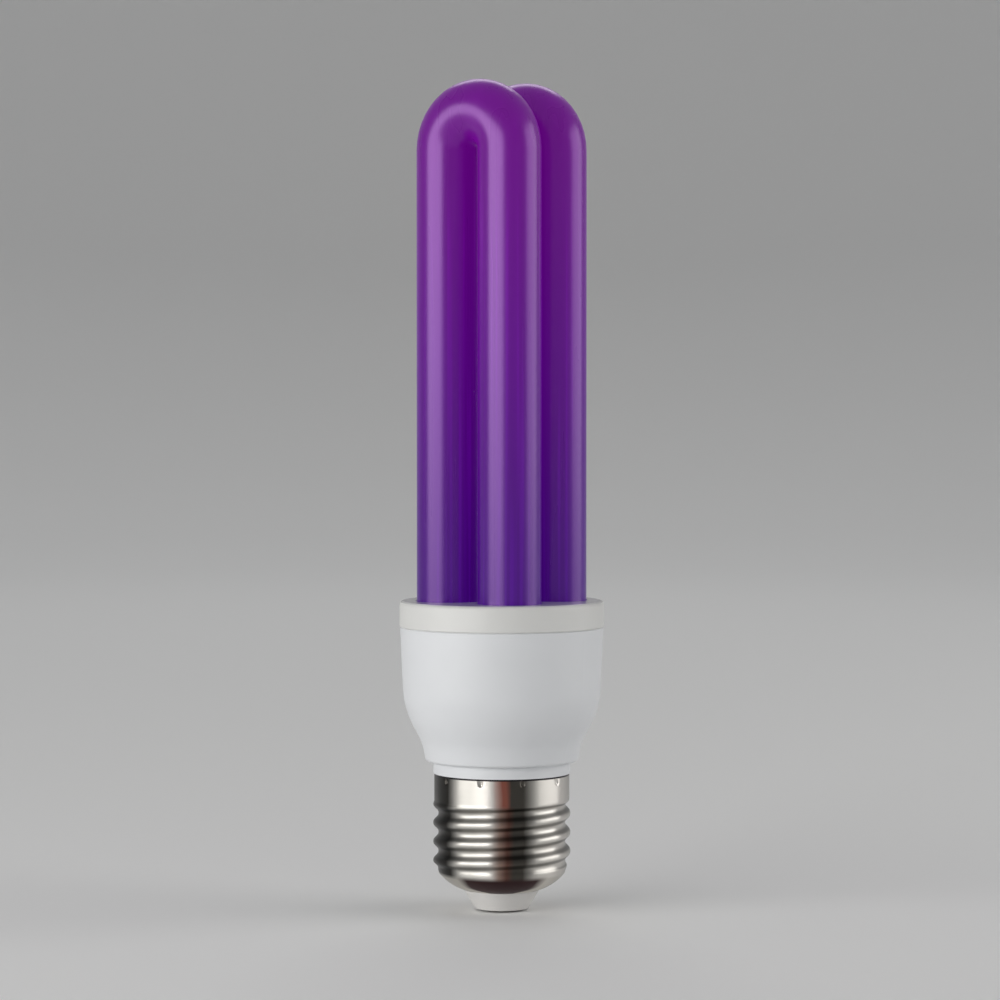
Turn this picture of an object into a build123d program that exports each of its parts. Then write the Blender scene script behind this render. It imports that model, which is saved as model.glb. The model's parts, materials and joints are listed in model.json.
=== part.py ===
from build123d import *
import math
import os

os.makedirs("parts", exist_ok=True)

# All sizes are in millimetres. Z is up, the lamp's axis is Z, and Z = 0 is the face of the centre contact.
# The two U tubes stand side by side, each in a plane along X.

# Whole lamp
lamp_height = 157.6
body_diameter = 39.0

# Discharge tube
tube_diameter = 12.0
leg_pitch = 14.5
row_pitch = 14.5
bridge_diameter = 7.5
bridge_height = 9.0
leg_depth = 8.0
seal_loft = 2.2
seal_blade = 2.3
seal_width = 9.0
seal_thickness = 2.8
seal_round = 1.25
dome_height = 3.4
tip_diameter = 2.6
tip_length = 1.0

# Tube holder
holder_height = 5.0
holder_plate = 1.6
holder_edge_round = 0.8
seam_bevel = 0.2
leg_clearance = 0.25
socket_wall = 0.9
socket_depth = 7.4
cement_gap = 0.75
cement_clearance = 0.05
cement_relief = 0.3
skirt_depth = 4.6
skirt_wall = 1.2
skirt_clearance = 0.15
hook_catch = 0.45
hook_height = 1.4
hook_slope = 1.05
hook_foot = 0.4
hook_arc = 20.0
hook_side_play = 2.0
hook_play = 0.15
foot_width = 4.0
foot_depth = 1.6

# Ballast housing
cap_height = 26.1
lip_radius = 13.05
lip_height = 2.3
waist_radius = 14.65
waist_round = 0.7
waist_lean = 0.16
flare_shares = [(0.215, 0.19), (0.43, 0.57), (0.70, 0.90)]
housing_height = 27.9
housing_wall = 1.4
rim_step = 0.1
bell_straight = 10.0
bell_draft = 0.45
neck_radius = 12.45
neck_bore = 11.1
neck_depth = 4.6
rib_width = 1.6
rib_reach = 1.1
wire_groove_width = 1.0
wire_groove_depth = 0.7
wire_groove_height = 4.2

# Screw shell: E27 rolls in thin sheet
sheet = 0.3
thread_pitch = 3.62
crest_radius = 13.1
roll_depth = 1.0
roll_count = 3
crest_height = 17.6
shell_radius = 12.9
roll_out_turn = 25.0
shoulder_chord = 1.15
shoulder_lean = 10.0
under_middle = (9.6, 4.85)
mouth_radius = 7.4
mouth_height = 3.85
punch_count = 10
punch_drop = 1.1
punch_radius = 0.7
punch_offset = 0.3
punch_band = 2.8
punch_direction = -35.13

# Cap insulator and centre contact
insulator_foot_radius = 5.1
insulator_foot = 0.2
insulator_gap = 0.3
shoulder_drop = 0.3
insulator_foot_round = 0.25
flange_radius = 9.6
flange_top = 7.2
flange_gap = 0.3
flange_rise = 1.65
contact_radius = 4.2
contact_thickness = 0.5
contact_edge = 0.15
contact_play = 0.1
stem_radius = 1.5
stem_bore = 0.65
stem_bore_bottom = 1.6
stem_top = 6.4
press_clearance = 0.05

# Circuit board
board_thickness = 1.6
board_drop = 15.0
board_play = 0.35
pin_width = 1.0
pin_rise = 4.2
pin_drop = 1.2
pin_circle = 15.0
pin_spread = 13.0
hole_play = 0.15
lead_radius = 0.3
lead_rise = 0.8
lead_bend = 0.6

# Electrode leads
electrode_spread = 5.2
electrode_drop = 1.0
electrode_wire = 0.25
electrode_bend = 0.6
wrap_radius = 1.0
wrap_arc = 260.0

# Wiring down to the cap
shell_lead_direction = 205.0
shell_lead_radius = 12.6
shell_lead_inner = 10.3
shell_lead_clamp = 12.15
shell_lead_low = 20.9
shell_lead_end = 24.2
shell_lead_drop = 9.0
shell_lead_bend = 3.0
shell_lead_hook = 0.8
fuse_diameter = 3.0
fuse_length = 8.0
fuse_bottom_z = 16.0
fuse_drop = 3.0
sleeve_gap = 0.2
sleeve_wall = 0.3
sleeve_overlap = 1.5
contact_lead_end = 2.2

# Choke
choke_width = 13.0
choke_depth = 6.0
choke_half = 5.6
choke_back = 1.4
choke_side = 1.7
choke_middle = 3.2
choke_lift = 0.2
bobbin_play = 0.15
bobbin_wall = 0.5
bobbin_flange = 0.6
bobbin_round = 0.6
flange_y = 10.4
winding_play = 0.05
winding_step = 0.5
choke_pin_x = 3.4
choke_pin_y = 4.4

# Feedback transformer
ring_middle_radius = 3.3
ring_width = 2.0
ring_height = 3.6
ring_round = 0.3
ring_lift = 1.4
winding_skin = 0.6
winding_arc = 60.0
winding_lead_arc = 43.0

# Capacitors
can_diameter = 10.0
can_length = 12.0
can_lift = 0.2
can_round = 0.6
can_crimp = 1.8
can_crimp_depth = 0.4
can_crimp_width = 1.0
can_lead_pitch = 5.0
film_lead_pitch = 7.5
film_size = (10.0, 4.6, 8.2)
film_lift = 0.8
film_round = 1.0
film_edge_round = 0.8
start_lead_pitch = 5.0
start_size = (7.0, 3.6, 6.2)

# Transistors, diodes and resistors
transistor_pitch = 1.27
transistor_radius = 2.4
transistor_flat = 1.4
transistor_height = 5.0
transistor_lift = 1.5
diode_diameter = 2.6
diode_length = 5.2
diode_span = 6.8
diode_lift = 1.6
trigger_diameter = 1.9
trigger_length = 4.2
resistor_diameter = 2.3
resistor_length = 6.0
hairpin_span = 2.4
hairpin_lift = 1.0
hairpin_rise = 0.8
body_round = 0.4

# Places worked out from the sizes above
tube_radius = tube_diameter / 2
leg_x = leg_pitch / 2
row_y = row_pitch / 2
bend_radius = leg_pitch / 2
spring_z = lamp_height - tube_radius - bend_radius
seam_z = cap_height + housing_height
plate_z = seam_z + holder_height
bridge_z = plate_z + bridge_height
leg_end_z = plate_z - leg_depth
holder_radius = body_diameter / 2
rim_radius = holder_radius - rim_step
plate_under_z = plate_z - holder_plate
socket_radius = tube_radius + cement_gap
socket_bottom_z = plate_under_z - socket_depth
bell_top_z = seam_z - bell_straight
bell_radius = rim_radius - bell_draft
waist_z = cap_height + lip_height
skirt_bottom_z = seam_z - skirt_depth
board_bottom_z = plate_z - board_drop - board_thickness
board_top_z = board_bottom_z + board_thickness
leg_places = [(-leg_x, -row_y), (leg_x, -row_y), (leg_x, row_y), (-leg_x, row_y)]
electrode_places = [(leg_x, -row_y), (leg_x, row_y)]
blind_places = [(-leg_x, -row_y), (-leg_x, row_y)]
neck_bottom_z = cap_height - neck_depth
punch_z = cap_height - punch_drop
board_radius = bell_radius - housing_wall - board_play
rib_inner_radius = board_radius - rib_reach


def bell_wall_radius(z):
    """Outer radius of the bell's straight, slightly drafted wall at a height."""
    return rim_radius - bell_draft * (seam_z - z) / bell_straight


def turned(radius, degrees):
    """A point on a circle about the axis."""
    return (radius * math.cos(math.radians(degrees)), radius * math.sin(math.radians(degrees)))


def leg_plane(x, y, z, direction=0.0):
    """A level plane on a leg's axis, its own X turned by an angle."""
    return Plane(origin=(x, y, z), x_dir=(*turned(1, direction), 0), z_dir=(0, 0, 1))


# Discharge tube: two bent U tubes, a short bridge between their left legs, two pinched ends that carry the
# electrodes and two domed ends
with BuildPart() as discharge_tube:
    for y in (-row_y, row_y):
        with BuildLine():
            rise = Line((-leg_x, y, leg_end_z), (-leg_x, y, spring_z))
            bend = ThreePointArc(rise @ 1, (0, y, spring_z + bend_radius), (leg_x, y, spring_z))
            Line(bend @ 1, (leg_x, y, leg_end_z))
        with BuildSketch(leg_plane(-leg_x, y, leg_end_z)):
            Circle(tube_radius)
        sweep()
    with BuildSketch(Plane.XZ):
        with Locations((-leg_x, bridge_z)):
            Circle(bridge_diameter / 2)
    extrude(amount=row_y, both=True)
    for x, y in electrode_places:
        across = math.degrees(math.atan2(y, x)) + 90
        with BuildSketch(leg_plane(x, y, leg_end_z, across)):
            Circle(tube_radius)
        with BuildSketch(leg_plane(x, y, leg_end_z - seal_loft, across)) as blade:
            RectangleRounded(seal_width, seal_thickness, seal_round)
        loft()
        extrude(blade.sketch, amount=-seal_blade)
    for x, y in blind_places:
        with BuildSketch(Plane(origin=(x, y, leg_end_z), x_dir=(1, 0, 0), z_dir=(0, -1, 0))):
            with BuildLine():
                Polyline((0, -dome_height - tip_length), (0, 0), (tube_radius, 0))
                Bezier((tube_radius, 0), (tube_radius, -dome_height), (tip_diameter / 2, -dome_height))
                Polyline(
                    (tip_diameter / 2, -dome_height),
                    (tip_diameter / 2, -dome_height - tip_length),
                    (0, -dome_height - tip_length),
                )
            make_face()
        revolve(axis=Axis((x, y, 0), (0, 0, 1)))
discharge_tube.part.label = "discharge_tube"
export_step(discharge_tube.part, "parts/discharge_tube.step")


# Tube holder: collar and plate, four leg sockets, a skirt that snaps into the housing and four feet that hold
# the board down
skirt_radius = bell_wall_radius(skirt_bottom_z) - housing_wall - skirt_clearance
skirt_bore = skirt_radius - skirt_wall
hook_z = skirt_bottom_z + hook_foot

with BuildPart() as snap_hook:
    with BuildSketch(Plane.XZ):
        Polygon(
            (skirt_radius - skirt_wall / 2, hook_z),
            (skirt_radius, hook_z),
            (skirt_radius + skirt_clearance + hook_catch, hook_z + hook_slope),
            (skirt_radius + skirt_clearance + hook_catch, hook_z + hook_height),
            (skirt_radius - skirt_wall / 2, hook_z + hook_height),
            align=None,
        )
    revolve(axis=Axis.Z, revolution_arc=hook_arc)

with BuildPart() as tube_holder:
    with BuildSketch(Plane.XY.offset(seam_z)):
        Circle(holder_radius)
    extrude(amount=holder_height)
    fillet(tube_holder.edges().group_by(Axis.Z)[-1], holder_edge_round)
    chamfer(tube_holder.edges().group_by(Axis.Z)[0], seam_bevel)
    with BuildSketch(Plane.XY.offset(skirt_bottom_z)):
        Circle(skirt_radius)
    extrude(amount=skirt_depth)
    with BuildSketch(Plane.XY.offset(skirt_bottom_z)):
        Circle(skirt_bore)
    extrude(amount=plate_under_z - skirt_bottom_z, mode=Mode.SUBTRACT)
    with BuildSketch(Plane.XY.offset(socket_bottom_z)):
        with Locations(*leg_places):
            Circle(socket_radius + socket_wall)
        Circle(skirt_bore + skirt_wall / 2, mode=Mode.INTERSECT)
    extrude(amount=plate_under_z - socket_bottom_z)
    with BuildSketch(Plane.XY.offset(board_top_z)):
        with PolarLocations(skirt_bore - foot_depth / 2 + skirt_wall / 2, 4):
            Rectangle(foot_depth, foot_width)
    extrude(amount=plate_under_z - board_top_z)
    with PolarLocations(0, 4, start_angle=45 - hook_arc / 2):
        add(snap_hook.part)
    with BuildSketch(Plane.XY.offset(socket_bottom_z)):
        with Locations(*leg_places):
            Circle(socket_radius)
    extrude(amount=plate_under_z - socket_bottom_z, mode=Mode.SUBTRACT)
    with BuildSketch(Plane.XY.offset(plate_under_z)):
        with Locations(*leg_places):
            Circle(tube_radius + leg_clearance)
    extrude(amount=holder_plate, mode=Mode.SUBTRACT)
tube_holder.part.label = "tube_holder"
export_step(tube_holder.part, "parts/tube_holder.step")


# Cement: one ring round each leg inside its socket
for index, (x, y) in enumerate(leg_places, 1):
    with BuildPart() as tube_cement:
        with BuildSketch(leg_plane(x, y, socket_bottom_z + cement_relief)):
            Circle(socket_radius - cement_clearance)
            Circle(tube_radius + cement_clearance, mode=Mode.SUBTRACT)
        extrude(amount=plate_under_z - socket_bottom_z - cement_relief)
    tube_cement.part.label = f"tube_cement_{index}"
    export_step(tube_cement.part, f"parts/tube_cement_{index}.step")


# Ballast housing: a bell of even wall, with the lip that covers the screw shell's edge and a neck inside it
def bell_curve(inset, lift):
    """The bell's S-shaped flank from the waist to the straight wall, moved inwards by the inset."""
    rise = bell_top_z - waist_z - waist_round
    flare = bell_radius - waist_radius
    middle = [
        (waist_radius + share * flare - inset, waist_z + waist_round + height * rise)
        for height, share in flare_shares
    ]
    return Spline(
        (waist_radius - inset, waist_z + lift),
        *middle,
        (bell_radius - inset, bell_top_z),
        tangents=[(waist_lean, 1), (bell_draft, bell_straight)],
    )


with BuildPart() as housing_cavity:
    with BuildSketch(Plane.XZ):
        with BuildLine():
            inner_flank = bell_curve(housing_wall, housing_wall)
            Polyline(
                inner_flank @ 1,
                (rim_radius - housing_wall, seam_z),
                (0, seam_z),
                (0, neck_bottom_z),
                (neck_bore, neck_bottom_z),
                (neck_bore, waist_z),
                inner_flank @ 0,
            )
        make_face()
    revolve(axis=Axis.Z)
    with BuildSketch(Plane.XY.offset(neck_bottom_z)):
        with PolarLocations(rib_inner_radius + holder_radius / 2, 4):
            Rectangle(holder_radius, rib_width)
    extrude(amount=board_bottom_z - neck_bottom_z, mode=Mode.SUBTRACT)

with BuildPart() as hook_pocket:
    with BuildSketch(Plane.XZ):
        with Locations((skirt_radius, hook_z - hook_play)):
            Rectangle(
                skirt_clearance + hook_catch + hook_play,
                hook_height + 2 * hook_play,
                align=(Align.MIN, Align.MIN),
            )
    revolve(axis=Axis.Z, revolution_arc=hook_arc + 2 * hook_side_play)

with BuildPart() as punch_dimples:
    with Locations((0, 0, punch_z)):
        with PolarLocations(shell_radius + punch_offset, punch_count, start_angle=punch_direction):
            Sphere(punch_radius + sheet + press_clearance)

with BuildPart() as ballast_housing:
    with BuildSketch(Plane.XZ):
        with BuildLine():
            outer_flank = bell_curve(0, waist_round)
            Polyline(
                outer_flank @ 1,
                (rim_radius, seam_z - seam_bevel),
                (rim_radius - seam_bevel, seam_z),
                (0, seam_z),
                (0, neck_bottom_z),
                (neck_radius, neck_bottom_z),
                (neck_radius, cap_height),
                (lip_radius, cap_height),
                (lip_radius, waist_z),
                (waist_radius - waist_round, waist_z),
            )
            TangentArc((waist_radius - waist_round, waist_z), outer_flank @ 0, tangent=(1, 0))
        make_face()
    revolve(axis=Axis.Z)
    add(housing_cavity.part, mode=Mode.SUBTRACT)
    with PolarLocations(0, 4, start_angle=45 - hook_arc / 2 - hook_side_play):
        add(hook_pocket.part, mode=Mode.SUBTRACT)
    add(punch_dimples.part, mode=Mode.SUBTRACT)
    with BuildSketch(Plane.XY.offset(neck_bottom_z)):
        with PolarLocations(neck_radius, 1, start_angle=shell_lead_direction):
            Rectangle(2 * wire_groove_depth, wire_groove_width)
    extrude(amount=wire_groove_height, mode=Mode.SUBTRACT)
ballast_housing.part.label = "ballast_housing"
export_step(ballast_housing.part, "parts/ballast_housing.step")


# Screw shell: rolls and grooves are arcs, each tangent to its neighbours where they cross the middle radius
middle_radius = crest_radius - roll_depth / 2
quarter = thread_pitch / 4
roll_arc_radius = (quarter**2 + (roll_depth / 2) ** 2) / roll_depth
roll_turn = math.degrees(math.asin(quarter / roll_arc_radius))
skirt_round = (shell_radius - middle_radius) / (1 - math.cos(math.radians(roll_turn)))
top_groove_z = crest_height + thread_pitch / 2
skirt_low = top_groove_z + quarter + skirt_round * math.sin(math.radians(roll_turn))
groove_radius = crest_radius - roll_depth
last_groove_z = top_groove_z - roll_count * thread_pitch
roll_out = turned(roll_arc_radius, 180 + roll_out_turn)
roll_out_end = (groove_radius + roll_arc_radius + roll_out[0], last_groove_z + roll_out[1])
shoulder = turned(shoulder_chord, 270 - shoulder_lean)
shoulder_end = (roll_out_end[0] + shoulder[0], roll_out_end[1] + shoulder[1])

with BuildPart() as shell_ring:
    with BuildSketch(Plane.XZ):
        with BuildLine():
            Line((shell_radius, cap_height), (shell_radius, skirt_low))
            TangentArc((shell_radius, skirt_low), (middle_radius, top_groove_z + quarter), tangent=(0, -1))
            for index in range(roll_count):
                groove_z = top_groove_z - index * thread_pitch
                ThreePointArc(
                    (middle_radius, groove_z + quarter),
                    (groove_radius, groove_z),
                    (middle_radius, groove_z - quarter),
                )
                ThreePointArc(
                    (middle_radius, groove_z - quarter),
                    (crest_radius, groove_z - 2 * quarter),
                    (middle_radius, groove_z - 3 * quarter),
                )
            ThreePointArc(
                (middle_radius, last_groove_z + quarter),
                (groove_radius, last_groove_z),
                roll_out_end,
            )
            lead_out = turned(1, roll_out_turn - 90)
            TangentArc(roll_out_end, shoulder_end, tangent=lead_out)
            ThreePointArc(shoulder_end, under_middle, (mouth_radius, mouth_height))
            offset(amount=sheet, side=Side.RIGHT)
        make_face()
    revolve(axis=Axis.Z)

with BuildPart() as punch_backs:
    with Locations((0, 0, punch_z)):
        with PolarLocations(shell_radius + punch_offset, punch_count, start_angle=punch_direction):
            Sphere(punch_radius + sheet)
        Cylinder(shell_radius - sheet / 2, punch_band, mode=Mode.INTERSECT)

with BuildPart() as screw_shell:
    add(shell_ring.part)
    add(punch_backs.part)
    with Locations((0, 0, punch_z)):
        with PolarLocations(shell_radius + punch_offset, punch_count, start_angle=punch_direction):
            Sphere(punch_radius, mode=Mode.SUBTRACT)
screw_shell.part.label = "screw_shell"
export_step(screw_shell.part, "parts/screw_shell.step")


# Cap insulator: a cone through the shell's mouth, with a flange that rests on the rolled-in sheet inside
flange_foot_z = mouth_height + sheet + flange_gap
insulator_neck_radius = mouth_radius - insulator_gap
with BuildPart() as cap_insulator:
    with BuildSketch(Plane.XZ):
        Polygon(
            (stem_radius + press_clearance, contact_thickness),
            (contact_radius + contact_play, contact_thickness),
            (contact_radius + contact_play, insulator_foot),
            (insulator_foot_radius, insulator_foot),
            (insulator_neck_radius, mouth_height - shoulder_drop),
            (insulator_neck_radius, flange_foot_z),
            (flange_radius, flange_foot_z + flange_rise),
            (flange_radius, flange_top),
            (stem_radius + press_clearance, flange_top),
            align=None,
        )
    revolve(axis=Axis.Z)
    foot_edges = cap_insulator.edges().filter_by(GeomType.CIRCLE).group_by(Axis.Z)[0]
    fillet(foot_edges.sort_by(SortBy.LENGTH)[-1], insulator_foot_round)
cap_insulator.part.label = "cap_insulator"
export_step(cap_insulator.part, "parts/cap_insulator.step")


# Centre contact: a flat head let into the insulator's foot, and a hollow stem that holds the lead
with BuildPart() as centre_contact:
    with BuildSketch(Plane.XZ):
        Polygon(
            (0, 0),
            (contact_radius, 0),
            (contact_radius, contact_thickness),
            (stem_radius, contact_thickness),
            (stem_radius, stem_top),
            (stem_bore, stem_top),
            (stem_bore, stem_bore_bottom),
            (0, stem_bore_bottom),
            align=None,
        )
    revolve(axis=Axis.Z)
    fillet(centre_contact.edges().filter_by(GeomType.CIRCLE).group_by(Axis.Z)[0], contact_edge)
centre_contact.part.label = "centre_contact"
export_step(centre_contact.part, "parts/centre_contact.step")


# What stands on the board, component side down
def seat(x, y, direction=0.0):
    """A place on the board's underside, with Z pointing down and away from it."""
    return Plane(origin=(x, y, board_bottom_z), x_dir=(*turned(1, direction), 0), z_dir=(0, 0, -1))


lead_top = -board_thickness - lead_rise
choke_seat = seat(-4.2, 3.6)
feedback_seat = seat(7.4, 7.5)
reservoir_seat = seat(7.3, -2.6)
coupling_seat = seat(-5.2, -5.0)
start_seat = seat(*turned(11.9, -113), -23)
transistor_seats = [seat(*turned(13.0, -79), 11), seat(*turned(13.6, -52), 38)]
diode_seats = [seat(*turned(14.2, angle), angle + 90) for angle in (100, 131, 162, 193)]
trigger_seat = seat(13.4, -5.2, 90)
resistor_seats = [
    seat(*turned(14.0, 220), 120),
    seat(2.0, 10.7, 180),
    seat(4.6, 13.3, 180),
    seat(13.2, 3.2, -90),
]
fuse_place = (1.0, -3.6)
shell_lead_place = turned(shell_lead_radius, shell_lead_direction)
pin_directions = [-45 - pin_spread, -45 + pin_spread, 45 - pin_spread, 45 + pin_spread]
pin_places = [turned(pin_circle, direction) for direction in pin_directions]


def level_places(place, local_points):
    """Where points of a component's own plane lie on the board."""
    found = [place.from_local_coords((u, v, 0)) for u, v in local_points]
    return [(point.X, point.Y) for point in found]


def row(pitch, count):
    """Points in line along a component's own X, centred on it."""
    return [((index - (count - 1) / 2) * pitch, 0) for index in range(count)]


film_row = row(film_lead_pitch, 2)
start_row = row(start_lead_pitch, 2)
can_row = row(can_lead_pitch, 2)
transistor_row = row(transistor_pitch, 3)
diode_row = row(diode_span, 2)
hairpin_row = [(0, 0), (hairpin_span, 0)]
choke_corners = [(x * choke_pin_x, y * choke_pin_y) for x in (-1, 1) for y in (-1, 1)]
winding_directions = (20, 140, 260)
winding_row = [
    turned(ring_middle_radius, direction + side * winding_lead_arc / 2)
    for direction in winding_directions
    for side in (-1, 1)
]
lead_places = [fuse_place, shell_lead_place]
lead_places += level_places(coupling_seat, film_row)
lead_places += level_places(start_seat, start_row)
lead_places += level_places(reservoir_seat, can_row)
lead_places += level_places(choke_seat, choke_corners)
lead_places += level_places(feedback_seat, winding_row)
for place in transistor_seats:
    lead_places += level_places(place, transistor_row)
for place in diode_seats:
    lead_places += level_places(place, diode_row)
for place in [trigger_seat, *resistor_seats]:
    lead_places += level_places(place, hairpin_row)

with BuildPart() as circuit_board:
    with BuildSketch(Plane.XY.offset(board_bottom_z)):
        Circle(board_radius)
        with Locations(*lead_places):
            Circle(lead_radius + hole_play, mode=Mode.SUBTRACT)
        for direction in pin_directions:
            with PolarLocations(pin_circle, 1, start_angle=direction):
                Rectangle(pin_width + hole_play, pin_width + hole_play, mode=Mode.SUBTRACT)
    extrude(amount=board_thickness)
circuit_board.part.label = "circuit_board"
export_step(circuit_board.part, "parts/circuit_board.step")


# Wrap pins on the board, and the four electrode leads that come out of the pinched glass and hook round them
for index, direction in enumerate(pin_directions, 1):
    with BuildPart() as wrap_pin:
        with BuildSketch(Plane.XY.offset(board_bottom_z - pin_drop)):
            with PolarLocations(pin_circle, 1, start_angle=direction):
                Rectangle(pin_width, pin_width)
        extrude(amount=pin_drop + board_thickness + pin_rise)
    wrap_pin.part.label = f"wrap_pin_{index}"
    export_step(wrap_pin.part, f"parts/wrap_pin_{index}.step")

blade_bottom_z = leg_end_z - seal_loft - seal_blade
wrap_z = blade_bottom_z - electrode_drop
for index, (pin, direction) in enumerate(zip(pin_places, pin_directions), 1):
    leg = electrode_places[0] if direction < 0 else electrode_places[1]
    leg_direction = math.degrees(math.atan2(leg[1], leg[0]))
    side = math.copysign(1, direction - leg_direction)
    aside = turned(side * electrode_spread / 2, leg_direction + 90)
    start = Vector(leg[0] + aside[0], leg[1] + aside[1], blade_bottom_z)
    level_start = Vector(start.X, start.Y, wrap_z)
    centre = Vector(*pin, wrap_z)
    reach = (centre - level_start).length
    bearing = math.degrees(math.atan2(centre.Y - start.Y, centre.X - start.X))
    swing = math.degrees(math.asin(wrap_radius / reach))
    wrap_start = side * 90 + bearing - side * swing
    touch = centre - Vector(*turned(wrap_radius, wrap_start + 180), 0)
    with BuildPart() as electrode_lead:
        with BuildLine():
            FilletPolyline(start, level_start, touch, radius=electrode_bend)
            CenterArc(centre, wrap_radius, wrap_start, -side * wrap_arc)
        with BuildSketch(Plane(origin=start, z_dir=(0, 0, -1))):
            Circle(electrode_wire)
        sweep()
    electrode_lead.part.label = f"electrode_lead_{index}"
    export_step(electrode_lead.part, f"parts/electrode_lead_{index}.step")


# Choke: two E halves of ferrite, a bobbin on their middle leg, its winding and four pins
choke_height = 2 * choke_half
window_height = choke_height - 2 * choke_back
window_width = (choke_width - choke_middle - 2 * choke_side) / 2
choke_middle_z = board_bottom_z - choke_lift - choke_half
bobbin_height = window_height - 2 * bobbin_play
tube_x = choke_middle + 2 * bobbin_play + 2 * bobbin_wall
tube_y = choke_depth + 2 * bobbin_play + 2 * bobbin_wall
flange_x = choke_middle + 2 * window_width - 2 * bobbin_play
choke_x, choke_y = choke_seat.origin.X, choke_seat.origin.Y

for name, side in (("choke_core_upper", 1), ("choke_core_lower", -1)):
    edge = Align.MIN if side > 0 else Align.MAX
    with BuildPart() as choke_core:
        with BuildSketch(Plane(origin=(choke_x, choke_y, choke_middle_z), x_dir=(1, 0, 0), z_dir=(0, -1, 0))):
            Rectangle(choke_width, choke_half, align=(Align.CENTER, edge))
            with GridLocations(choke_middle + window_width, 1, 2, 1):
                Rectangle(
                    window_width,
                    choke_half - choke_back,
                    align=(Align.CENTER, edge),
                    mode=Mode.SUBTRACT,
                )
        extrude(amount=choke_depth / 2, both=True)
    choke_core.part.label = name
    export_step(choke_core.part, f"parts/{name}.step")

with BuildPart() as choke_bobbin:
    with BuildSketch(Plane(origin=(choke_x, choke_y, choke_middle_z - bobbin_height / 2))):
        RectangleRounded(flange_x, flange_y, bobbin_round)
    extrude(amount=bobbin_flange)
    with BuildSketch(Plane(origin=(choke_x, choke_y, choke_middle_z + bobbin_height / 2))):
        RectangleRounded(flange_x, flange_y, bobbin_round)
    extrude(amount=-bobbin_flange)
    with BuildSketch(Plane(origin=(choke_x, choke_y, choke_middle_z - bobbin_height / 2))):
        Rectangle(tube_x, tube_y)
    extrude(amount=bobbin_height)
    with BuildSketch(Plane(origin=(choke_x, choke_y, choke_middle_z - bobbin_height / 2))):
        Rectangle(tube_x - 2 * bobbin_wall, tube_y - 2 * bobbin_wall)
    extrude(amount=bobbin_height, mode=Mode.SUBTRACT)
choke_bobbin.part.label = "choke_bobbin"
export_step(choke_bobbin.part, "parts/choke_bobbin.step")

winding_height = bobbin_height - 2 * bobbin_flange - 2 * winding_play
with BuildPart() as choke_winding:
    with BuildSketch(Plane(origin=(choke_x, choke_y, choke_middle_z - winding_height / 2))):
        RectangleRounded(flange_x - winding_step, flange_y - winding_step, bobbin_round)
        Rectangle(tube_x + 2 * winding_play, tube_y + 2 * winding_play, mode=Mode.SUBTRACT)
    extrude(amount=winding_height)
choke_winding.part.label = "choke_winding"
export_step(choke_winding.part, "parts/choke_winding.step")

with BuildPart() as choke_pins:
    with BuildSketch(Plane.XY.offset(choke_middle_z + bobbin_height / 2)):
        with Locations(*level_places(choke_seat, choke_corners)):
            Circle(lead_radius)
    extrude(amount=board_top_z + lead_rise - choke_middle_z - bobbin_height / 2)
choke_pins.part.label = "choke_pins"
export_step(choke_pins.part, "parts/choke_pins.step")


# Feedback transformer: a ferrite ring with three windings, each a wrapped sector of it
ring_place = feedback_seat.offset(ring_lift + winding_skin + ring_height / 2)
ring_section = Plane(origin=ring_place.origin, x_dir=ring_place.x_dir, z_dir=ring_place.y_dir)
with BuildPart() as feedback_core:
    with BuildSketch(ring_section):
        with Locations((ring_middle_radius, 0)):
            RectangleRounded(ring_width, ring_height, ring_round)
    revolve(axis=Axis(ring_place.origin, (0, 0, 1)))
feedback_core.part.label = "feedback_core"
export_step(feedback_core.part, "parts/feedback_core.step")

with BuildPart() as feedback_winding:
    for direction in winding_directions:
        sector = Plane(
            origin=ring_place.origin,
            x_dir=ring_place.x_dir.rotate(Axis.Z, -direction + winding_arc / 2),
            z_dir=ring_place.y_dir.rotate(Axis.Z, -direction + winding_arc / 2),
        )
        with BuildSketch(sector):
            with Locations((ring_middle_radius, 0)):
                RectangleRounded(ring_width + 2 * winding_skin, ring_height + 2 * winding_skin, winding_skin)
                Rectangle(ring_width + 2 * winding_play, ring_height + 2 * winding_play, mode=Mode.SUBTRACT)
        revolve(axis=Axis(ring_place.origin, (0, 0, -1)), revolution_arc=winding_arc)
    with BuildSketch(Plane.XY.offset(board_top_z + lead_rise)):
        with Locations(*level_places(feedback_seat, winding_row)):
            Circle(lead_radius)
    extrude(amount=-(board_thickness + lead_rise + ring_lift + winding_skin / 2))
feedback_winding.part.label = "feedback_winding"
export_step(feedback_winding.part, "parts/feedback_winding.step")


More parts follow.
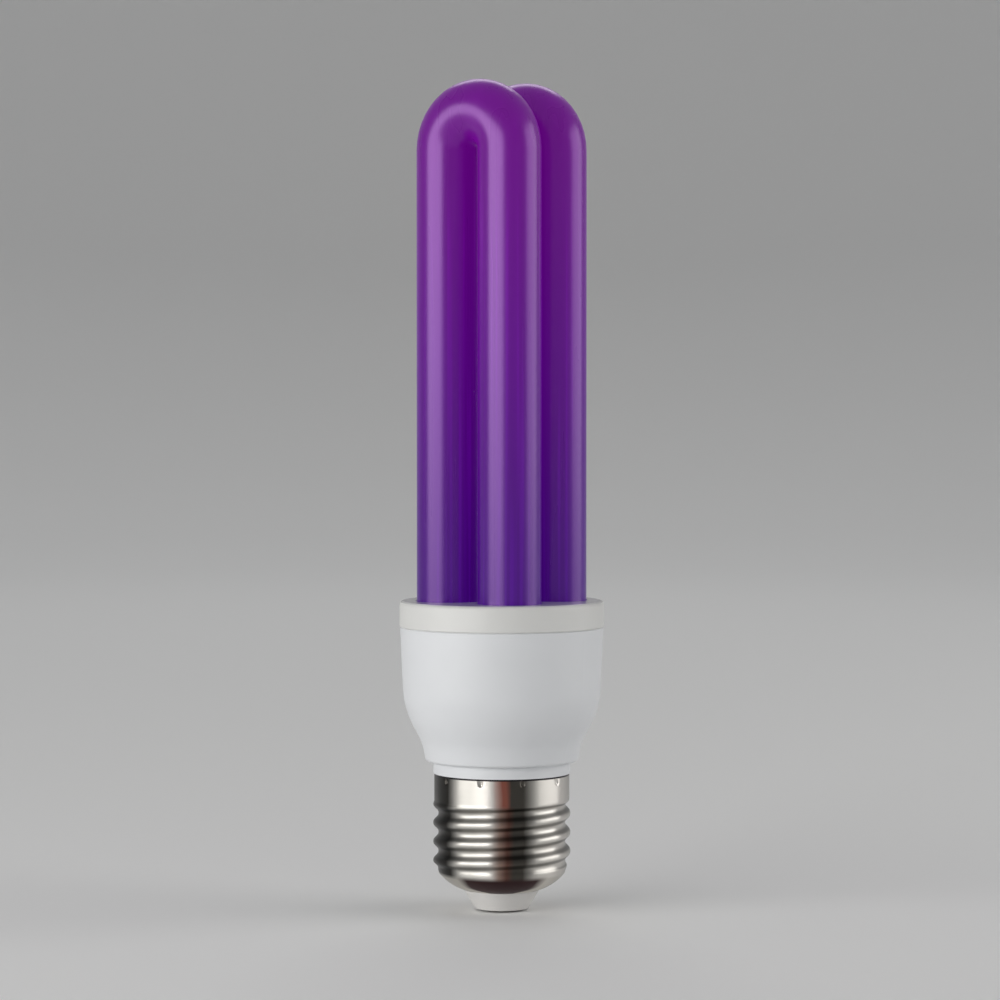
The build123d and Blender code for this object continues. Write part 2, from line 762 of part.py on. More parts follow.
# Capacitors: a crimped can on its end, and two dipped film blocks
with BuildPart() as reservoir_capacitor:
    with BuildSketch(Plane(origin=reservoir_seat.origin, x_dir=(1, 0, 0), z_dir=(0, 1, 0))):
        with BuildLine():
            Polyline((0, can_lift), (can_diameter / 2 - can_round, can_lift))
            TangentArc(
                (can_diameter / 2 - can_round, can_lift),
                (can_diameter / 2, can_lift + can_round),
                tangent=(1, 0),
            )
            Line((can_diameter / 2, can_lift + can_round), (can_diameter / 2, can_crimp))
            ThreePointArc(
                (can_diameter / 2, can_crimp),
                (can_diameter / 2 - can_crimp_depth, can_crimp + can_crimp_width / 2),
                (can_diameter / 2, can_crimp + can_crimp_width),
            )
            Polyline(
                (can_diameter / 2, can_crimp + can_crimp_width),
                (can_diameter / 2, can_lift + can_length - can_round),
            )
            TangentArc(
                (can_diameter / 2, can_lift + can_length - can_round),
                (can_diameter / 2 - can_round, can_lift + can_length),
                tangent=(0, 1),
            )
            Polyline(
                (can_diameter / 2 - can_round, can_lift + can_length),
                (0, can_lift + can_length),
                (0, can_lift),
            )
        make_face()
    revolve(axis=Axis(reservoir_seat.origin, (0, 0, 1)))
    with BuildSketch(reservoir_seat.offset(lead_top)):
        with Locations(*can_row):
            Circle(lead_radius)
    extrude(amount=can_lift + can_round - lead_top)
reservoir_capacitor.part.label = "reservoir_capacitor"
export_step(reservoir_capacitor.part, "parts/reservoir_capacitor.step")

film_blocks = [
    ("coupling_capacitor", coupling_seat, film_size, film_row),
    ("start_capacitor", start_seat, start_size, start_row),
]
for name, place, (length, thickness, height), leads in film_blocks:
    with BuildPart() as film_capacitor:
        with BuildSketch(place.offset(film_lift)):
            RectangleRounded(length, thickness, film_round)
        extrude(amount=height)
        fillet(film_capacitor.edges().group_by(Axis.Z)[0], film_edge_round)
        fillet(film_capacitor.edges().group_by(Axis.Z)[-1], film_edge_round)
        with BuildSketch(place.offset(lead_top)):
            with Locations(*leads):
                Circle(lead_radius)
        extrude(amount=film_lift + film_round - lead_top)
    film_capacitor.part.label = name
    export_step(film_capacitor.part, f"parts/{name}.step")


# Transistors: a round body with a flat face on three leads
for index, place in enumerate(transistor_seats, 1):
    with BuildPart() as transistor:
        with BuildSketch(place.offset(transistor_lift)):
            Circle(transistor_radius)
            with Locations((0, transistor_flat)):
                Rectangle(
                    2 * transistor_radius,
                    transistor_radius + transistor_flat,
                    align=(Align.CENTER, Align.MAX),
                    mode=Mode.INTERSECT,
                )
        extrude(amount=transistor_height)
        with BuildSketch(place.offset(lead_top)):
            with Locations(*transistor_row):
                Circle(lead_radius)
        extrude(amount=transistor_lift + transistor_height / 2 - lead_top)
    transistor.part.label = f"transistor_{index}"
    export_step(transistor.part, f"parts/transistor_{index}.step")


# Diodes: bodies that lie along the board's edge, each on one bent wire
for index, place in enumerate(diode_seats, 1):
    body_end = place.from_local_coords((-diode_length / 2, 0, diode_lift))
    wire_end = place.from_local_coords((-diode_span / 2, 0, lead_top))
    with BuildPart() as rectifier_diode:
        with BuildSketch(Plane(origin=body_end, z_dir=place.x_dir)):
            Circle(diode_diameter / 2)
        extrude(amount=diode_length)
        fillet(rectifier_diode.edges(), body_round)
        with BuildLine(place):
            FilletPolyline(
                (-diode_span / 2, 0, lead_top),
                (-diode_span / 2, 0, diode_lift),
                (diode_span / 2, 0, diode_lift),
                (diode_span / 2, 0, lead_top),
                radius=lead_bend,
            )
        with BuildSketch(Plane(origin=wire_end, z_dir=place.z_dir)):
            Circle(lead_radius)
        sweep()
    rectifier_diode.part.label = f"rectifier_diode_{index}"
    export_step(rectifier_diode.part, f"parts/rectifier_diode_{index}.step")


# Trigger diode and resistors: bodies that stand on end, each on a hairpin of wire
upright_bodies = [("trigger_diode", trigger_seat, trigger_diameter, trigger_length)]
for index, place in enumerate(resistor_seats, 1):
    upright_bodies.append((f"resistor_{index}", place, resistor_diameter, resistor_length))
for name, place, diameter, length in upright_bodies:
    with BuildPart() as upright:
        with BuildSketch(place.offset(hairpin_lift)):
            Circle(diameter / 2)
        extrude(amount=length)
        fillet(upright.edges(), body_round)
        with BuildLine(place):
            FilletPolyline(
                (0, 0, lead_top),
                (0, 0, hairpin_lift + length + hairpin_rise),
                (hairpin_span, 0, hairpin_lift + length + hairpin_rise),
                (hairpin_span, 0, lead_top),
                radius=lead_bend,
            )
        with BuildSketch(place.offset(lead_top)):
            Circle(lead_radius)
        sweep()
    upright.part.label = name
    export_step(upright.part, f"parts/{name}.step")


# Fusible resistor: it hangs in the neck on the lead that goes down into the centre contact's stem
with BuildPart() as fuse_resistor:
    with BuildSketch(Plane(origin=(*fuse_place, fuse_bottom_z))):
        Circle(fuse_diameter / 2)
    extrude(amount=fuse_length)
    fillet(fuse_resistor.edges(), body_round)
    with BuildLine():
        FilletPolyline(
            (*fuse_place, board_top_z + lead_rise),
            (*fuse_place, fuse_bottom_z - fuse_drop),
            (0, 0, stem_top + fuse_drop),
            (0, 0, contact_lead_end),
            radius=fuse_drop,
        )
    with BuildSketch(Plane(origin=(*fuse_place, board_top_z + lead_rise), z_dir=(0, 0, -1))):
        Circle(lead_radius)
    sweep()
fuse_resistor.part.label = "fuse_resistor"
export_step(fuse_resistor.part, "parts/fuse_resistor.step")

with BuildPart() as fuse_sleeve:
    with BuildSketch(Plane(origin=(*fuse_place, fuse_bottom_z - sleeve_overlap))):
        Circle(fuse_diameter / 2 + sleeve_gap + sleeve_wall)
        Circle(fuse_diameter / 2 + sleeve_gap, mode=Mode.SUBTRACT)
    extrude(amount=fuse_length + 2 * sleeve_overlap)
fuse_sleeve.part.label = "fuse_sleeve"
export_step(fuse_sleeve.part, "parts/fuse_sleeve.step")


# Shell lead: from the board down the neck's bore, round its lower edge and up the groove where the screw
# shell clamps it
lead_plane = Plane(
    origin=(0, 0, 0),
    x_dir=(*turned(1, shell_lead_direction), 0),
    z_dir=(*turned(1, shell_lead_direction - 90), 0),
)
with BuildPart() as shell_lead:
    with BuildLine(lead_plane):
        FilletPolyline(
            (shell_lead_radius, board_top_z + lead_rise),
            (shell_lead_radius, board_bottom_z - shell_lead_drop),
            (shell_lead_inner, waist_z),
            (shell_lead_inner, shell_lead_low),
            (shell_lead_clamp, shell_lead_low),
            (shell_lead_clamp, shell_lead_end),
            radius=[shell_lead_bend, shell_lead_bend, shell_lead_hook, shell_lead_hook],
        )
    with BuildSketch(Plane(origin=(*shell_lead_place, board_top_z + lead_rise), z_dir=(0, 0, -1))):
        Circle(lead_radius)
    sweep()
shell_lead.part.label = "shell_lead"
export_step(shell_lead.part, "parts/shell_lead.step")
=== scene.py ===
import json
import math

import bpy
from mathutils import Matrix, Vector


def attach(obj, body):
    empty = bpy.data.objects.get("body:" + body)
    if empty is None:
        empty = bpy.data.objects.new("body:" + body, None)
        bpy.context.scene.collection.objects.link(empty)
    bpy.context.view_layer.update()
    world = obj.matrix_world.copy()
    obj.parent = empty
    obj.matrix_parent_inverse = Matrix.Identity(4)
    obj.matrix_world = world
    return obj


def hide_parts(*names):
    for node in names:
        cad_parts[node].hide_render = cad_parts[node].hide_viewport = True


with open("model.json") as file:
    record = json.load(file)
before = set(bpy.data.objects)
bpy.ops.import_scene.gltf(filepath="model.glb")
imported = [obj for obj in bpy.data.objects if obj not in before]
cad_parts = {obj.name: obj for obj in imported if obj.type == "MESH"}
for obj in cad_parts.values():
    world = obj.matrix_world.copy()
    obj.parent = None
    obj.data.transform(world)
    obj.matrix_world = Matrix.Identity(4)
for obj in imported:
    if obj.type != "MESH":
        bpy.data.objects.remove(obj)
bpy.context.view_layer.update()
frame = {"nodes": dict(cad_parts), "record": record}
scene = bpy.context.scene
scene.view_settings.view_transform = "Standard"


# Materials
def new_material(name):
    material = bpy.data.materials.new(name)
    material.use_nodes = True
    nodes = material.node_tree.nodes
    return material, nodes, material.node_tree.links, nodes["Principled BSDF"]


def object_coordinates(nodes):
    return nodes.new("ShaderNodeTexCoord").outputs["Object"]


def noise(nodes, links, scale, detail=3.0, stretch=None):
    """A noise texture in the object's own space, stretched along its axes if asked."""
    texture = nodes.new("ShaderNodeTexNoise")
    texture.inputs["Scale"].default_value = scale
    texture.inputs["Detail"].default_value = detail
    source = object_coordinates(nodes)
    if stretch:
        mapping = nodes.new("ShaderNodeMapping")
        mapping.inputs["Scale"].default_value = stretch
        links.new(source, mapping.inputs["Vector"])
        source = mapping.outputs["Vector"]
    links.new(source, texture.inputs["Vector"])
    return texture.outputs["Fac"]


def between(nodes, links, value, low, high, start=0.3, end=0.7):
    """The value's range from start to end, spread over low to high."""
    spread = nodes.new("ShaderNodeMapRange")
    spread.inputs["From Min"].default_value = start
    spread.inputs["From Max"].default_value = end
    spread.inputs["To Min"].default_value = low
    spread.inputs["To Max"].default_value = high
    links.new(value, spread.inputs["Value"])
    return spread.outputs["Result"]


def ramp(nodes, links, value, stops):
    """A colour ramp with linear RGB stops."""
    colours = nodes.new("ShaderNodeValToRGB")
    band = colours.color_ramp
    while len(band.elements) < len(stops):
        band.elements.new(0.5)
    for element, (place, colour) in zip(band.elements, stops):
        element.position = place
        element.color = (*colour, 1)
    links.new(value, colours.inputs["Fac"])
    return colours.outputs["Color"]


def bump(nodes, links, height, shader, distance):
    """Relief whose full depth is the distance."""
    relief = nodes.new("ShaderNodeBump")
    relief.inputs["Distance"].default_value = distance
    relief.inputs["Strength"].default_value = 1.0
    links.new(height, relief.inputs["Height"])
    links.new(relief.outputs["Normal"], shader.inputs["Normal"])


def height_of(nodes, links, low, high):
    """0 at one height of the object and 1 at another."""
    split = nodes.new("ShaderNodeSeparateXYZ")
    links.new(object_coordinates(nodes), split.inputs["Vector"])
    return between(nodes, links, split.outputs["Z"], 0, 1, low, high)


def calculate(nodes, links, operation, first, second):
    """One sum on two values, each a socket or a number."""
    step = nodes.new("ShaderNodeMath")
    step.operation = operation
    for socket, value in zip(step.inputs, (first, second)):
        if isinstance(value, (int, float)):
            socket.default_value = value
        else:
            links.new(value, socket)
    return step.outputs["Value"]


def mix(nodes, links, kind, share, first, second):
    """Two colours blended or multiplied by a share. Each value is a socket, or a number or colour."""
    blend = nodes.new("ShaderNodeMix")
    blend.data_type = "RGBA"
    blend.blend_type = kind
    for index, value in ((0, share), (6, first), (7, second)):
        if isinstance(value, (int, float)):
            blend.inputs[index].default_value = value
        elif isinstance(value, tuple):
            blend.inputs[index].default_value = (*value, 1)
        else:
            links.new(value, blend.inputs[index])
    return blend.outputs[2]


def plain(name, dark, light, roughness, scale, relief, metallic=0.0):
    """A finish whose colour wanders between two near tones, with uneven gloss and a fine relief."""
    material, nodes, links, shader = new_material(name)
    tone = noise(nodes, links, scale)
    links.new(ramp(nodes, links, tone, [(0.35, dark), (0.65, light)]), shader.inputs["Base Color"])
    gloss = noise(nodes, links, scale * 3)
    links.new(between(nodes, links, gloss, roughness - 0.05, roughness + 0.05), shader.inputs["Roughness"])
    shader.inputs["Metallic"].default_value = metallic
    bump(nodes, links, noise(nodes, links, scale * 12), shader, relief)
    return material


PLATE_TOP = 0.0590
PLATE_POLISH = 0.72


def holder_plastic():
    """Satin on the collar's side and polished on its top plate, which mirrors the tubes at a low angle."""
    material = plain("holder_plastic", (0.635, 0.637, 0.622), (0.655, 0.657, 0.642), 0.42, 60, 0.000006)
    nodes, links = material.node_tree.nodes, material.node_tree.links
    roughness = nodes["Principled BSDF"].inputs["Roughness"]
    satin = roughness.links[0].from_socket
    top = height_of(nodes, links, PLATE_TOP - 0.0004, PLATE_TOP - 0.0001)
    polish = between(nodes, links, top, 1.0, 1.0 - PLATE_POLISH, 0, 1)
    links.new(calculate(nodes, links, "MULTIPLY", satin, polish), roughness)
    return material


GLASS_FOOT, GLASS_TOP = 0.055, 0.150
GLASS_TONES = [
    (0.0, (0.040, 0.0012, 0.150)),
    (0.2, (0.055, 0.0012, 0.165)),
    (0.55, (0.092, 0.0010, 0.200)),
    (1.0, (0.125, 0.0012, 0.205)),
]
# Share of the tone kept as base colour, and the strength of a painted glow that evens out the glass's
# shading
GLASS_BASE, GLASS_GLOW = 0.45, 0.68
LINES_START, LINES_END = 0.126, 0.139


def violet_glass():
    """Dark violet glass: deep, a little paler and redder upwards, with faint lines from its drawing, and a
    painted glow in its own tone that evens out its shading.
    """
    material, nodes, links, shader = new_material("violet_glass")
    rise = height_of(nodes, links, GLASS_FOOT, GLASS_TOP)
    streaks = noise(nodes, links, 420, 1.0, (1, 1, 0.03))
    shade = between(nodes, links, streaks, 0.92, 1.08, 0, 1)
    lines = between(nodes, links, noise(nodes, links, 1500, 0.0, (1, 1, 0.012)), 0, 0.30, 0.58, 0.78)
    lines = calculate(nodes, links, "MULTIPLY", lines, height_of(nodes, links, LINES_END, LINES_START))
    shade = calculate(nodes, links, "ADD", shade, lines)
    tone = mix(nodes, links, "MULTIPLY", 1.0, ramp(nodes, links, rise, GLASS_TONES), shade)
    base = mix(nodes, links, "MULTIPLY", 1.0, tone, (GLASS_BASE, GLASS_BASE, GLASS_BASE))
    links.new(base, shader.inputs["Base Color"])
    # Painted glow in the glass's own tone, filling its shade
    links.new(tone, shader.inputs["Emission Color"])
    shader.inputs["Emission Strength"].default_value = GLASS_GLOW
    shader.inputs["IOR"].default_value = 1.5
    shader.inputs["Specular IOR Level"].default_value = 0.8
    shader.inputs["Specular Tint"].default_value = (0.80, 0.50, 1.0, 1)
    links.new(between(nodes, links, streaks, 0.25, 0.31, 0, 1), shader.inputs["Roughness"])
    bump(nodes, links, streaks, shader, 0.000005)
    return material


# Nickel plate: its tones, most of them painted reflections with a painted shadow at the top edge, the
# heights where they change over and the rolls' radii, in metres
DARK, DULL, FAIR = (0.046, 0.043, 0.039), (0.088, 0.081, 0.071), (0.33, 0.305, 0.265)
BRIGHT, WHITE = (0.53, 0.515, 0.48), (0.74, 0.71, 0.67)
# The pink and brown tones make a reddish band near the front
PINK, RED_BROWN = (0.62, 0.43, 0.38), (0.38, 0.135, 0.10)
PALE_BROWN, BROWN = (0.42, 0.30, 0.25), (0.17, 0.082, 0.064)
# Tones of the foot's painted reflections, dark brown and pale grey
FOOT_BROWN, FOOT_GREY = (0.058, 0.030, 0.032), (0.66, 0.63, 0.58)
# Dark tone of the painted shadow along the top edge
EDGE_PAINTED_SHADOW = (0.035, 0.032, 0.036)
FRONT_TURN = 53.13
SKIRT_CHANGE, EDGE_CHANGE = (0.0200, 0.0212), (0.02568, 0.02580)
ROLLS_START, ROLLS_END = (0.0082, 0.0090), (0.0203, 0.0208)
FOOT_CHANGE, MOUTH_CHANGE = (0.0066, 0.0074), (0.0040, 0.0060)
GROOVE_RADIUS, CREST_RADIUS = 0.0121, 0.0131
FLANK_SHADE = 0.45

# Its painted reflections, light and dark zones with a red-brown band, as stops in degrees round the axis
# from the front
SKIRT_PAINTED_REFLECTIONS = [
    (-180, FAIR), (-168, BRIGHT), (-140, BRIGHT), (-124, DULL), (-60, DARK), (-52, DARK), (-43, BRIGHT),
    (-26, BRIGHT), (-9, WHITE), (-5, PINK), (0, RED_BROWN), (3, RED_BROWN), (7, DULL), (19, DULL), (31, BRIGHT),
    (64, WHITE), (80, BRIGHT), (104, DULL), (124, BRIGHT), (152, BRIGHT), (168, DULL), (180, FAIR),
]
ROLL_PAINTED_REFLECTIONS = [
    (-180, FAIR), (-166, BRIGHT), (-142, BRIGHT), (-122, DULL), (-62, DARK), (-54, DARK), (-44, BRIGHT),
    (-26, BRIGHT), (-9, WHITE), (-2, PALE_BROWN), (5, BROWN), (11, DULL), (20, DULL), (31, BRIGHT),
    (68, WHITE), (84, BRIGHT), (110, DULL), (128, BRIGHT), (154, BRIGHT), (170, DULL), (180, FAIR),
]
FOOT_PAINTED_REFLECTIONS = [
    (-180, FOOT_GREY), (-150, FOOT_BROWN), (-120, FOOT_GREY), (-47, FOOT_GREY), (-35, FOOT_BROWN),
    (35, FOOT_BROWN), (47, FOOT_GREY), (100, FOOT_GREY), (130, FOOT_BROWN), (165, FOOT_GREY),
]


def round_ramp(nodes, links, turn, stops):
    """A colour ramp round the lamp's axis, with its stops in degrees from the front."""
    share = between(nodes, links, turn, 0, 1, -math.pi, math.pi)
    return ramp(nodes, links, share, [(0.5 + degrees / 360, colour) for degrees, colour in stops])


def round_coordinates(nodes, links):
    """The angle from the front, with a slight drift, the distance from the axis and the height."""
    front = nodes.new("ShaderNodeMapping")
    front.inputs["Rotation"].default_value = (0, 0, math.radians(FRONT_TURN))
    links.new(object_coordinates(nodes), front.inputs["Vector"])
    split = nodes.new("ShaderNodeSeparateXYZ")
    links.new(front.outputs["Vector"], split.inputs["Vector"])
    across, along, rise = (split.outputs[axis] for axis in "XYZ")
    turn = calculate(nodes, links, "ARCTAN2", along, across)
    drift = between(nodes, links, noise(nodes, links, 150, 3.0, (1, 1, 0.5)), -0.07, 0.07, 0, 1)
    squares = [calculate(nodes, links, "MULTIPLY", side, side) for side in (across, along)]
    reach = calculate(nodes, links, "POWER", calculate(nodes, links, "ADD", *squares), 0.5)
    return calculate(nodes, links, "ADD", turn, drift), reach, rise


def roll_shade(nodes, links, reach, rise):
    """Painted shade: 1 on the rolls' crests and in their grooves, less on the flanks between, and 1 off the
    rolls.
    """
    wave = between(nodes, links, reach, -1, 1, GROOVE_RADIUS, CREST_RADIUS)
    height = calculate(nodes, links, "MULTIPLY", wave, wave)
    flank = between(nodes, links, height, FLANK_SHADE, 1, 0.1, 0.75)
    below = between(nodes, links, rise, 1, 0, *ROLLS_START)
    above = between(nodes, links, rise, 0, 1, *ROLLS_END)
    return calculate(nodes, links, "MAXIMUM", flank, calculate(nodes, links, "MAXIMUM", below, above))


def foot_painted_reflections(nodes, links, turn, rise):
    """Painted reflections on the rolled-in foot: dark brown patches between pale grey, which narrow towards
    its mouth.
    """
    near_mouth = calculate(nodes, links, "POWER", between(nodes, links, rise, 1, 0, *MOUTH_CHANGE), 5.0)
    narrow = calculate(nodes, links, "ADD", calculate(nodes, links, "MULTIPLY", near_mouth, 1.2), 1.0)
    return round_ramp(nodes, links, calculate(nodes, links, "MULTIPLY", turn, narrow), FOOT_PAINTED_REFLECTIONS)


def nickel_plate():
    """Thin nickel plate, drawn and rolled, with painted reflections in light and dark zones down its side,
    painted shade on the rolls' flanks, painted brown reflections on its foot and a painted shadow at its
    top edge.
    """
    material, nodes, links, shader = new_material("nickel_plate")
    turn, reach, rise = round_coordinates(nodes, links)
    # Painted reflections down the skirt and over the rolls
    skirt = round_ramp(nodes, links, turn, SKIRT_PAINTED_REFLECTIONS)
    rolls = round_ramp(nodes, links, turn, ROLL_PAINTED_REFLECTIONS)
    metal = mix(nodes, links, "MIX", between(nodes, links, rise, 0, 1, *SKIRT_CHANGE), rolls, skirt)
    metal = mix(nodes, links, "MULTIPLY", 1.0, metal, roll_shade(nodes, links, reach, rise))
    foot = between(nodes, links, rise, 1, 0, *FOOT_CHANGE)
    metal = mix(nodes, links, "MIX", foot, metal, foot_painted_reflections(nodes, links, turn, rise))
    # Painted shadow along the shell's top edge, under the housing's lip
    edge = between(nodes, links, rise, 0, 1, *EDGE_CHANGE)
    links.new(mix(nodes, links, "MIX", edge, metal, EDGE_PAINTED_SHADOW), shader.inputs["Base Color"])
    shader.inputs["Metallic"].default_value = 1.0
    wear = noise(nodes, links, 300, 5.0)
    links.new(between(nodes, links, wear, 0.33, 0.41), shader.inputs["Roughness"])
    shader.inputs["Anisotropic"].default_value = 0.8
    shader.inputs["Anisotropic Rotation"].default_value = 0.25
    round_axis = nodes.new("ShaderNodeTangent")
    round_axis.direction_type = "RADIAL"
    round_axis.axis = "Z"
    links.new(round_axis.outputs["Tangent"], shader.inputs["Tangent"])
    draw_marks = noise(nodes, links, 260, 4.0, (0.3, 0.3, 6))
    bump(nodes, links, draw_marks, shader, 0.00001)
    return material


# Plain finishes by material slot: two tones, roughness, noise scale, relief in metres and metallic
PLAIN_FINISHES = [
    ("housing_plastic", (0.675, 0.69, 0.71), (0.695, 0.71, 0.73), 0.42, 60, 0.000006),
    ("tube_cement", (0.62, 0.60, 0.54), (0.72, 0.70, 0.64), 0.85, 500, 0.00005),
    ("insulator_plastic", (0.63, 0.62, 0.605), (0.67, 0.66, 0.645), 0.45, 90, 0.00001),
    ("contact_metal", (0.44, 0.41, 0.36), (0.52, 0.49, 0.44), 0.3, 200, 0.00001, 1.0),
    ("board_laminate", (0.19, 0.10, 0.035), (0.27, 0.15, 0.05), 0.45, 250, 0.00001),
    ("tinned_wire", (0.48, 0.48, 0.48), (0.60, 0.60, 0.60), 0.25, 400, 0.000005, 1.0),
    ("ferrite", (0.018, 0.018, 0.02), (0.035, 0.035, 0.038), 0.6, 300, 0.00002),
    ("bobbin_plastic", (0.012, 0.012, 0.014), (0.022, 0.022, 0.024), 0.4, 200, 0.00001),
    ("copper_winding", (0.36, 0.11, 0.03), (0.50, 0.19, 0.06), 0.3, 900, 0.00005, 1.0),
    ("can_sleeve", (0.010, 0.016, 0.045), (0.018, 0.026, 0.065), 0.3, 150, 0.00001),
    ("film_dip", (0.24, 0.030, 0.010), (0.33, 0.050, 0.016), 0.25, 150, 0.00003),
    ("black_epoxy", (0.008, 0.008, 0.008), (0.016, 0.016, 0.016), 0.5, 400, 0.00001),
    ("resistor_coat", (0.36, 0.22, 0.09), (0.45, 0.29, 0.13), 0.3, 300, 0.00002),
    ("trigger_coat", (0.03, 0.09, 0.25), (0.05, 0.13, 0.33), 0.25, 300, 0.00001),
    ("sleeve_braid", (0.55, 0.52, 0.44), (0.68, 0.65, 0.58), 0.8, 1500, 0.00008),
]
finishes = {row[0]: plain(*row) for row in PLAIN_FINISHES}
finishes["holder_plastic"] = holder_plastic()
finishes["violet_glass"] = violet_glass()
finishes["nickel_shell"] = nickel_plate()
slots = {part["node"]: part["material_slot"] for part in frame["record"]["subparts"]}
for name, node in frame["nodes"].items():
    node.data.materials.clear()
    node.data.materials.append(finishes[slots[name]])


# Screw shell: the rolled sheet with its right-hand thread, its run-outs and the ring of staking punches, in
# millimetres and degrees
PITCH = 3.62
CREST_HEIGHT, CREST_DIRECTION = 18.4, 36.87
MIDDLE_RADIUS, THROW = 12.6, 0.5
FOOT_RADIUS, SHELL_RADIUS, SHEET = 12.2, 12.9, 0.3
LOWER_RUN_OUT, UPPER_RUN_OUT = (7.5, 9.3), (20.0, 21.1)
PUNCH_DIRECTION, PUNCH_STEP, PUNCH_DEPTH = -35.13, 36.0, 0.45
PUNCH_LOW, PUNCH_TIP, PUNCH_FADE, PUNCH_HIGH = 24.40, 24.85, 25.0, 26.0
PUNCH_NARROW, PUNCH_WIDEN = 0.36, 0.44
COLUMNS = 300
EDGE_ROWS = [26.1, 26.04, 25.9]
PUNCH_ROWS = [25.8 - 0.12 * index for index in range(15)]
SKIRT_ROWS = [23.9, 23.4, 22.8, 22.2, 21.7, 21.4]
ROLL_ROWS = [21.2 - 0.18 * index for index in range(75)]


def smooth_step(value, low, high):
    share = min(max((value - low) / (high - low), 0), 1)
    return share * share * (3 - 2 * share)


def roll_profile(phase):
    """The rolls' shape over one turn of phase, 1 at a crest and -1 at a groove: arcs rather than a sine."""
    wave = math.cos(phase)
    return wave * (1.25 - 0.25 * wave * wave)


def shell_place(angle, z):
    """Radius of the sheet's outer face above its rolled-in foot, at an angle and a height."""
    phase = 2 * math.pi * ((z - CREST_HEIGHT) / PITCH - (angle - CREST_DIRECTION) / 360)
    rolled = MIDDLE_RADIUS + THROW * roll_profile(phase)
    radius = FOOT_RADIUS + (rolled - FOOT_RADIUS) * smooth_step(z, *LOWER_RUN_OUT)
    return radius + (SHELL_RADIUS - radius) * smooth_step(z, *UPPER_RUN_OUT)


def punch_depth(angle, z):
    """How far a punch pushes the sheet in: a notch that hangs from the edge and narrows to a deep tip."""
    turn = (angle - PUNCH_DIRECTION + PUNCH_STEP / 2) % PUNCH_STEP - PUNCH_STEP / 2
    across = abs(math.radians(turn)) * SHELL_RADIUS
    half_width = PUNCH_NARROW + PUNCH_WIDEN * smooth_step(z, PUNCH_LOW, PUNCH_HIGH)
    tall = smooth_step(z, PUNCH_LOW, PUNCH_TIP) * (1 - 0.65 * smooth_step(z, PUNCH_FADE, PUNCH_HIGH))
    return PUNCH_DEPTH * tall * (1 - smooth_step(across / half_width, 0.1, 1.0))


def arc(start, middle, end, count):
    """Points on the circle through three points, without its first."""
    (ax, ay), (bx, by), (cx, cy) = start, middle, end
    scale = 2 * (ax * (by - cy) + bx * (cy - ay) + cx * (ay - by))
    squares = [x * x + y * y for x, y in (start, middle, end)]
    x = (squares[0] * (by - cy) + squares[1] * (cy - ay) + squares[2] * (ay - by)) / scale
    y = (squares[0] * (cx - bx) + squares[1] * (ax - cx) + squares[2] * (bx - ax)) / scale
    radius = math.hypot(ax - x, ay - y)
    first, last = math.atan2(ay - y, ax - x), math.atan2(cy - y, cx - x)
    turns = [first + (last - first) * index / count for index in range(1, count + 1)]
    return [(x + radius * math.cos(turn), y + radius * math.sin(turn)) for turn in turns]


def strips(rows, columns):
    """Faces of the closed strips between rows of points, facing outwards when the rows go down."""
    faces = []
    for row in range(rows - 1):
        upper, lower = row * columns, (row + 1) * columns
        for column in range(columns):
            after = (column + 1) % columns
            faces.append((upper + column, lower + column, lower + after, upper + after))
    return faces


def smooth_object(name, vertices, faces):
    """A smooth-shaded mesh object, linked to the scene."""
    mesh = bpy.data.meshes.new(name)
    mesh.from_pydata(vertices, [], faces)
    mesh.polygons.foreach_set("use_smooth", [True] * len(mesh.polygons))
    item = bpy.data.objects.new(name, mesh)
    scene.collection.objects.link(item)
    return item


def screw_shell():
    """The rolled sheet from its top edge down to the mouth that holds the insulator."""
    heights = EDGE_ROWS + PUNCH_ROWS + SKIRT_ROWS + ROLL_ROWS
    foot_start, foot_middle, mouth = (12.00, 6.966), (9.6, 4.85), (7.4, 3.85)
    foot = [(12.14, 7.45), (12.08, 7.2), foot_start] + arc(foot_start, foot_middle, mouth, 14)
    angles = [360 * column / COLUMNS for column in range(COLUMNS)]
    points = [
        (shell_place(angle, z) - punch_depth(angle, z), math.radians(angle), z)
        for z in heights
        for angle in angles
    ]
    points += [(radius, math.radians(angle), z) for radius, z in foot for angle in angles]
    vertices = [
        (radius * math.cos(turn) / 1000, radius * math.sin(turn) / 1000, z / 1000)
        for radius, turn, z in points
    ]
    faces = strips(len(heights) + len(foot), COLUMNS)
    shell = smooth_object("screw_shell_rolled", vertices, faces)
    sheet = shell.modifiers.new("sheet", "SOLIDIFY")
    sheet.thickness = SHEET / 1000
    sheet.offset = -1
    shell.data.materials.append(finishes["nickel_shell"])
    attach(shell, "root")
    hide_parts("screw_shell")


screw_shell()


# Camera: the photograph's, 0.7 m from the lamp's axis and a little above its middle
camera_place = Vector((0.42, -0.56, 0.1027))
look_at = Vector((-0.00027, -0.00021, 0.07812))
camera_data = bpy.data.cameras.new("camera")
camera_data.lens = 132.44
camera_data.sensor_width = 36
camera_data.clip_start = 0.01
camera = bpy.data.objects.new("camera", camera_data)
camera.location = camera_place
camera.rotation_euler = (look_at - camera_place).to_track_quat("-Z", "Y").to_euler()
scene.collection.objects.link(camera)
scene.camera = camera


# Studio: a pale floor under a pale sky, with large soft lights to the left, to the right and high behind
LAMP_MIDDLE = Vector((0, 0, 0.09))


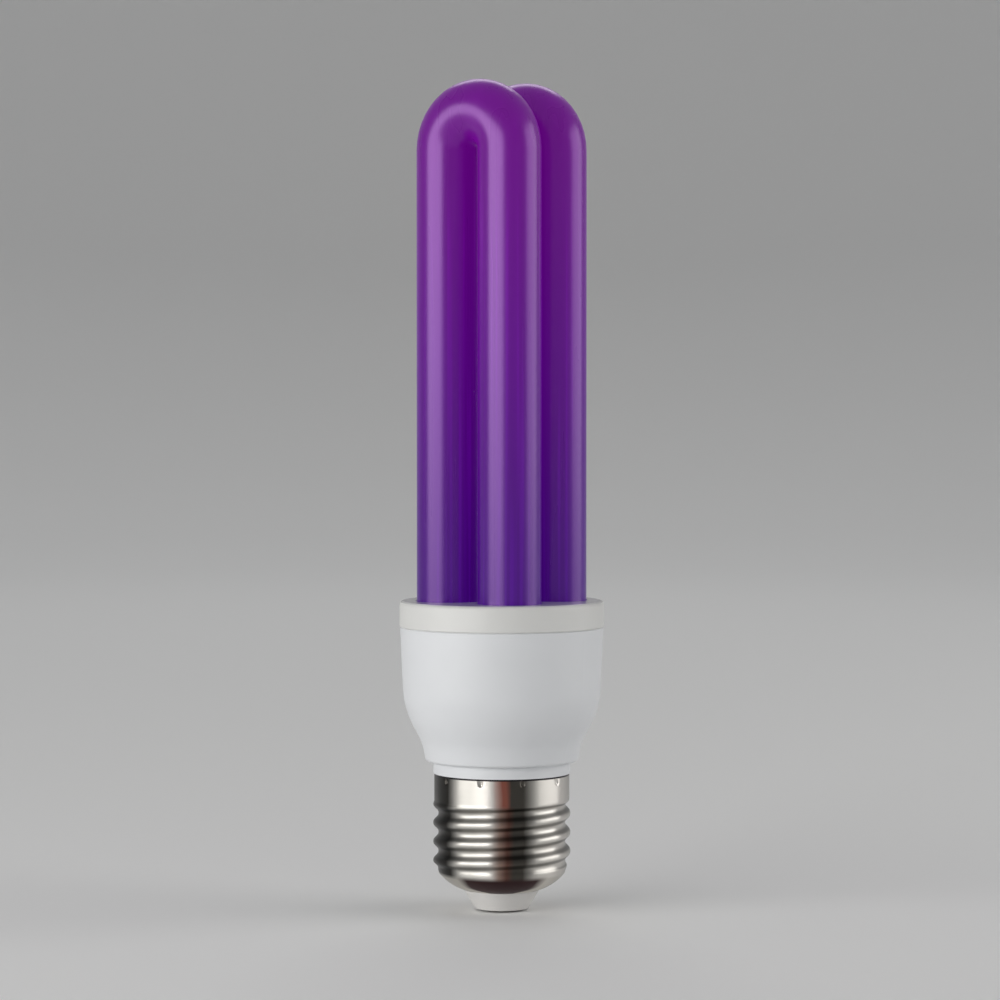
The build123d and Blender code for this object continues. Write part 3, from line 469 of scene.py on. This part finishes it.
def softbox(name, bearing, distance, height, width, tall, power, colour):
    """A rectangular light that faces the lamp, at an angle in degrees round it from the camera's side."""
    data = bpy.data.lights.new(name, "AREA")
    data.shape = "RECTANGLE"
    data.size = width
    data.size_y = tall
    data.energy = power
    data.color = colour
    light = bpy.data.objects.new(name, data)
    angle = math.atan2(camera_place.y, camera_place.x) + math.radians(bearing)
    light.location = (distance * math.cos(angle), distance * math.sin(angle), height)
    light.rotation_euler = (LAMP_MIDDLE - light.location).to_track_quat("-Z", "Y").to_euler()
    scene.collection.objects.link(light)


softbox("left_softbox", -51, 0.9, 0.21, 1.0, 0.5, 6.7, (1.0, 0.99, 0.975))
softbox("back_softbox", 180, 1.2, 1.0, 0.9, 0.5, 2.6, (1.0, 1.0, 1.0))
softbox("right_softbox", 88, 0.9, 0.27, 0.8, 0.7, 3.8, (1.0, 0.985, 0.97))

world = bpy.data.worlds.new("studio")
world.use_nodes = True
background = world.node_tree.nodes["Background"]
background.inputs["Color"].default_value = (0.97, 0.98, 1.0, 1)
background.inputs["Strength"].default_value = 0.3
scene.world = world


FLOOR_FLAT, FLOOR_SWEEP = 1.2, 1.2
FLOOR_COLUMNS = 96


def pale_floor():
    """Plain matt floor paint."""
    material, _, _, shader = new_material("pale_floor")
    shader.inputs["Base Color"].default_value = (0.84, 0.84, 0.835, 1)
    shader.inputs["Roughness"].default_value = 0.9
    shader.inputs["Specular IOR Level"].default_value = 0.1
    return material


def studio_floor():
    """A round floor whose edge sweeps up into a wall, with its open top far above the lights."""
    rings = [(FLOOR_FLAT * index / 8, 0.0) for index in range(1, 9)]
    for index in range(1, 13):
        turn = math.radians(7.5 * index)
        rings.append((FLOOR_FLAT + FLOOR_SWEEP * math.sin(turn), FLOOR_SWEEP * (1 - math.cos(turn))))
    rings += [(FLOOR_FLAT + FLOOR_SWEEP, 1.6), (FLOOR_FLAT + FLOOR_SWEEP, 2.0)]
    turns = [2 * math.pi * column / FLOOR_COLUMNS for column in range(FLOOR_COLUMNS)]
    vertices = [
        (radius * math.cos(turn), radius * math.sin(turn), z)
        for radius, z in rings
        for turn in turns
    ]
    vertices.append((0, 0, 0))
    centre = len(vertices) - 1
    faces = [(column, (column + 1) % FLOOR_COLUMNS, centre) for column in range(FLOOR_COLUMNS)]
    faces += strips(len(rings), FLOOR_COLUMNS)
    floor = smooth_object("floor", vertices, faces)
    floor.location.z = -0.0002
    floor.data.materials.append(pale_floor())


studio_floor()
